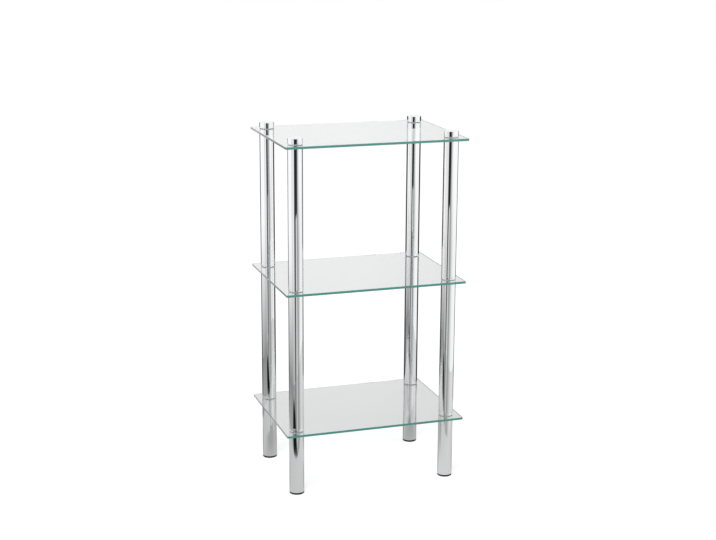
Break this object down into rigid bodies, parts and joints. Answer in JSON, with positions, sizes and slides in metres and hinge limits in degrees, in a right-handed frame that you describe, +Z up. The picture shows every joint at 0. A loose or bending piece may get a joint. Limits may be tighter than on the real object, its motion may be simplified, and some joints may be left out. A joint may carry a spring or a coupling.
{
  "type": "bathroom etagere",
  "caption": "Free-standing open bathroom etagere: rectangular clear glass shelves clamped between chromed tube legs, with screw-on caps above and plastic glides below.",
  "frame": {"origin": "on the floor, midway between the four legs", "axes": "+Z up along the legs, +X to the right along the shelves' long side, front facing -Y"},
  "size_m": [0.4, 0.29, 0.774],
  "materials": {
    "shelf_glass": "clear float glass with a green tint at its ground and polished edges",
    "chrome": "bright chrome plate",
    "clear_plastic": "clear soft plastic",
    "stud_steel": "zinc-plated steel",
    "insert_steel": "turned steel",
    "glide_plastic": "moulded black plastic"
  },
  "bodies": {
    "root": {"bottom_shelf": "shelf_glass", "bottom_shelf_bushes": "clear_plastic", "bottom_shelf_washers": "clear_plastic", "bottom_shelf_studs": "stud_steel", "middle_shelf": "shelf_glass", "middle_shelf_bushes": "clear_plastic", "middle_shelf_washers": "clear_plastic", "middle_shelf_studs": "stud_steel", "top_shelf": "shelf_glass", "top_shelf_bushes": "clear_plastic", "top_shelf_washers": "clear_plastic", "top_shelf_studs": "stud_steel", "glide_front_left": "glide_plastic", "cap_front_left": "chrome", "foot_tube_front_left": "chrome", "foot_tube_top_insert_front_left": "insert_steel", "lower_tube_front_left": "chrome", "lower_tube_top_insert_front_left": "insert_steel", "lower_tube_bottom_insert_front_left": "insert_steel", "upper_tube_front_left": "chrome", "upper_tube_top_insert_front_left": "insert_steel", "upper_tube_bottom_insert_front_left": "insert_steel", "glide_front_right": "glide_plastic", "cap_front_right": "chrome", "foot_tube_front_right": "chrome", "foot_tube_top_insert_front_right": "insert_steel", "lower_tube_front_right": "chrome", "lower_tube_top_insert_front_right": "insert_steel", "lower_tube_bottom_insert_front_right": "insert_steel", "upper_tube_front_right": "chrome", "upper_tube_top_insert_front_right": "insert_steel", "upper_tube_bottom_insert_front_right": "insert_steel", "glide_back_left": "glide_plastic", "cap_back_left": "chrome", "foot_tube_back_left": "chrome", "foot_tube_top_insert_back_left": "insert_steel", "lower_tube_back_left": "chrome", "lower_tube_top_insert_back_left": "insert_steel", "lower_tube_bottom_insert_back_left": "insert_steel", "upper_tube_back_left": "chrome", "upper_tube_top_insert_back_left": "insert_steel", "upper_tube_bottom_insert_back_left": "insert_steel", "glide_back_right": "glide_plastic", "cap_back_right": "chrome", "foot_tube_back_right": "chrome", "foot_tube_top_insert_back_right": "insert_steel", "lower_tube_back_right": "chrome", "lower_tube_top_insert_back_right": "insert_steel", "lower_tube_bottom_insert_back_right": "insert_steel", "upper_tube_back_right": "chrome", "upper_tube_top_insert_back_right": "insert_steel", "upper_tube_bottom_insert_back_right": "insert_steel"}
  },
  "joints": []
}
